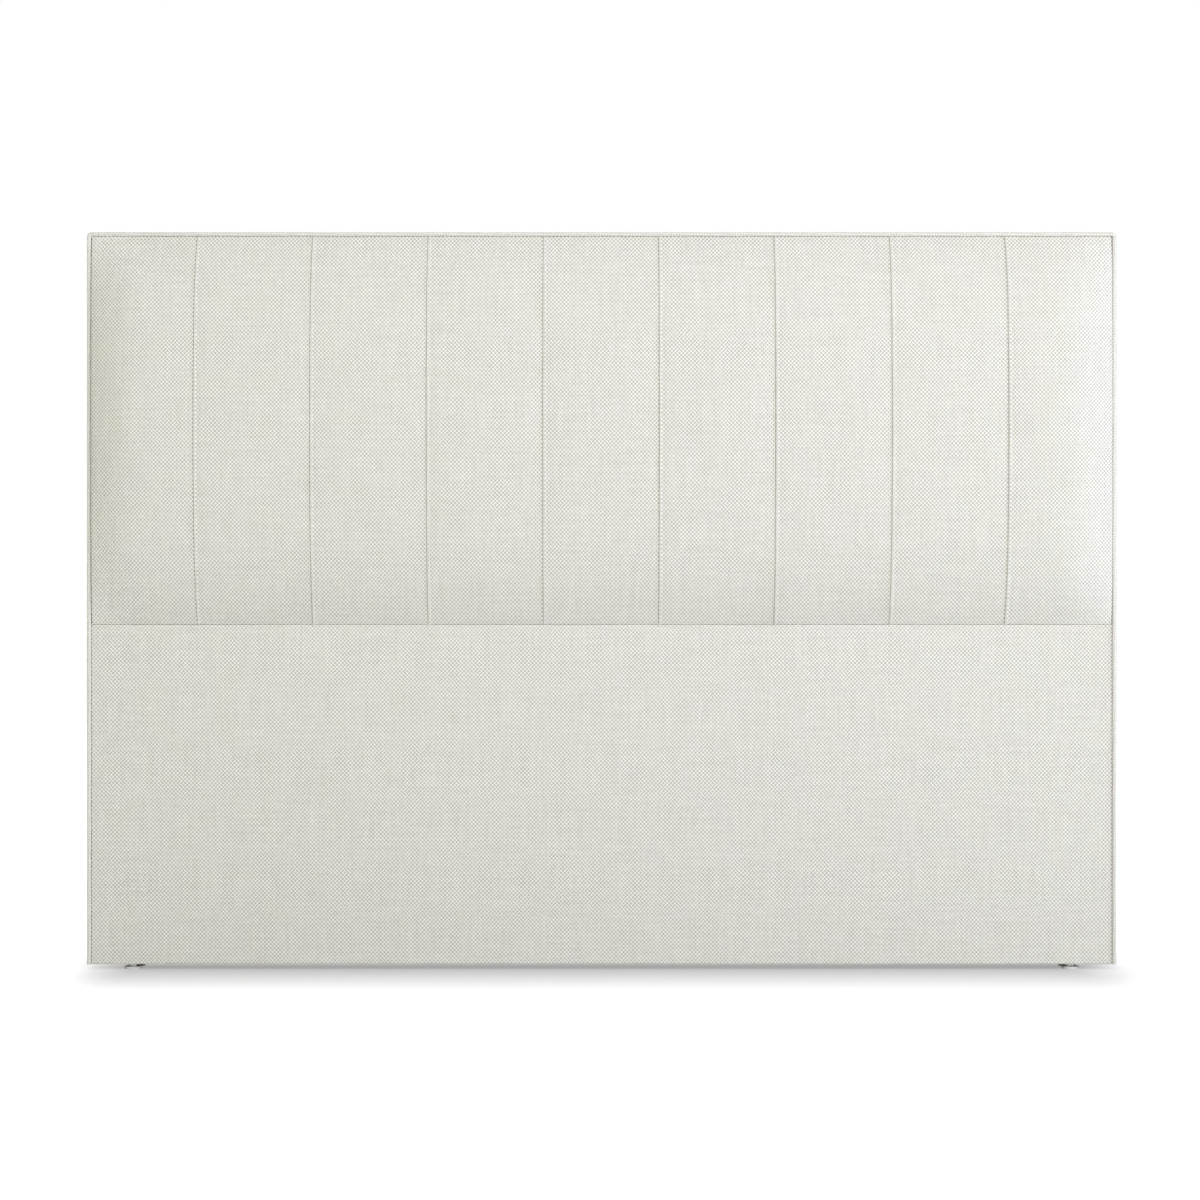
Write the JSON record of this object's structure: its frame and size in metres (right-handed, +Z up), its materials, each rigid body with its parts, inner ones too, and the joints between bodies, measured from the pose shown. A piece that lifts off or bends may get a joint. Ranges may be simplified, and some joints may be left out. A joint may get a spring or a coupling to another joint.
{
  "type": "headboard",
  "caption": "Upholstered headboard that stands on the floor: a crowned cushion in upright channels above a flat panel, piped edge, timber frame, levelling feet.",
  "frame": {"origin": "on the floor, midway between the ends and midway between the front of the cushion and the back", "axes": "+X along the width to the right as seen from the front, +Y to the back, +Z up; the cushion faces -Y"},
  "size_m": [1.8, 0.1234, 1.289],
  "materials": {
    "upholstery": "woven ivory and grey-beige basket weave, matt",
    "foam": "open-cell upholstery foam, matt",
    "filler_cord": "twisted paper cord",
    "dust_cloth": "thin non-woven cloth, matt",
    "timber": "planed softwood, unfinished",
    "dowel_wood": "fluted beech, unfinished",
    "plywood": "poplar plywood, sanded",
    "zinc_steel": "zinc plated",
    "spindle_steel": "zinc plated, threaded",
    "pad_plastic": "moulded pale grey nylon"
  },
  "bodies": {
    "headboard": {"channel_cover_1": "upholstery", "channel_cover_2": "upholstery", "channel_cover_3": "upholstery", "channel_cover_4": "upholstery", "channel_cover_5": "upholstery", "channel_cover_6": "upholstery", "channel_cover_7": "upholstery", "channel_cover_8": "upholstery", "channel_cover_9": "upholstery", "seam_tucks": "upholstery", "lower_cover": "upholstery", "piping_cover": "upholstery", "boxing_top": "upholstery", "boxing_bottom": "upholstery", "boxing_left": "upholstery", "boxing_right": "upholstery", "upper_foam": "foam", "lower_foam": "foam", "piping_filler": "filler_cord", "dust_cover": "dust_cloth", "left_stile": "timber", "right_stile": "timber", "top_rail": "timber", "middle_rail": "timber", "bottom_rail": "timber", "upper_post_left": "timber", "upper_post_right": "timber", "lower_post_left": "timber", "lower_post_right": "timber", "plinth_board": "timber", "corner_blocks": "timber", "frame_dowels": "dowel_wood", "upper_board": "plywood", "lower_board": "plywood", "board_screws": "zinc_steel", "plinth_screws": "zinc_steel", "back_staples": "zinc_steel", "bed_sleeves": "zinc_steel", "foot_sleeves": "zinc_steel"},
    "front_left_pad": {"foot_pad_front_left": "pad_plastic"},
    "front_left_spindle": {"foot_spindle_front_left": "spindle_steel"},
    "front_right_pad": {"foot_pad_front_right": "pad_plastic"},
    "front_right_spindle": {"foot_spindle_front_right": "spindle_steel"},
    "rear_left_pad": {"foot_pad_rear_left": "pad_plastic"},
    "rear_left_spindle": {"foot_spindle_rear_left": "spindle_steel"},
    "rear_right_pad": {"foot_pad_rear_right": "pad_plastic"},
    "rear_right_spindle": {"foot_spindle_rear_right": "spindle_steel"}
  },
  "joints": [
    {"name": "front_left_height", "type": "slide", "parent": "headboard", "child": "front_left_pad", "axis": [0, 0, -1], "range_m": [0, 0.01]},
    {"name": "front_left_turn", "type": "hinge", "parent": "front_left_pad", "child": "front_left_spindle", "pos_m": [-0.822, 0.00835, 0.006], "axis": [0, 0, -1], "range_deg": [0, 2880.1]},
    {"name": "front_right_height", "type": "slide", "parent": "headboard", "child": "front_right_pad", "axis": [0, 0, -1], "range_m": [0, 0.01]},
    {"name": "front_right_turn", "type": "hinge", "parent": "front_right_pad", "child": "front_right_spindle", "pos_m": [0.822, 0.00835, 0.006], "axis": [0, 0, -1], "range_deg": [0, 2880.1]},
    {"name": "rear_left_height", "type": "slide", "parent": "headboard", "child": "rear_left_pad", "axis": [0, 0, -1], "range_m": [0, 0.01]},
    {"name": "rear_left_turn", "type": "hinge", "parent": "rear_left_pad", "child": "rear_left_spindle", "pos_m": [-0.822, 0.04365, 0.006], "axis": [0, 0, -1], "range_deg": [0, 2880.1]},
    {"name": "rear_right_height", "type": "slide", "parent": "headboard", "child": "rear_right_pad", "axis": [0, 0, -1], "range_m": [0, 0.01]},
    {"name": "rear_right_turn", "type": "hinge", "parent": "rear_right_pad", "child": "rear_right_spindle", "pos_m": [0.822, 0.04365, 0.006], "axis": [0, 0, -1], "range_deg": [0, 2880.1]}
  ],
  "couplings": [
    {"joint": "front_left_turn", "follows": "front_left_height", "rad_per_m": 5026.5},
    {"joint": "front_right_turn", "follows": "front_right_height", "rad_per_m": 5026.5},
    {"joint": "rear_left_turn", "follows": "rear_left_height", "rad_per_m": 5026.5},
    {"joint": "rear_right_turn", "follows": "rear_right_height", "rad_per_m": 5026.5}
  ]
}
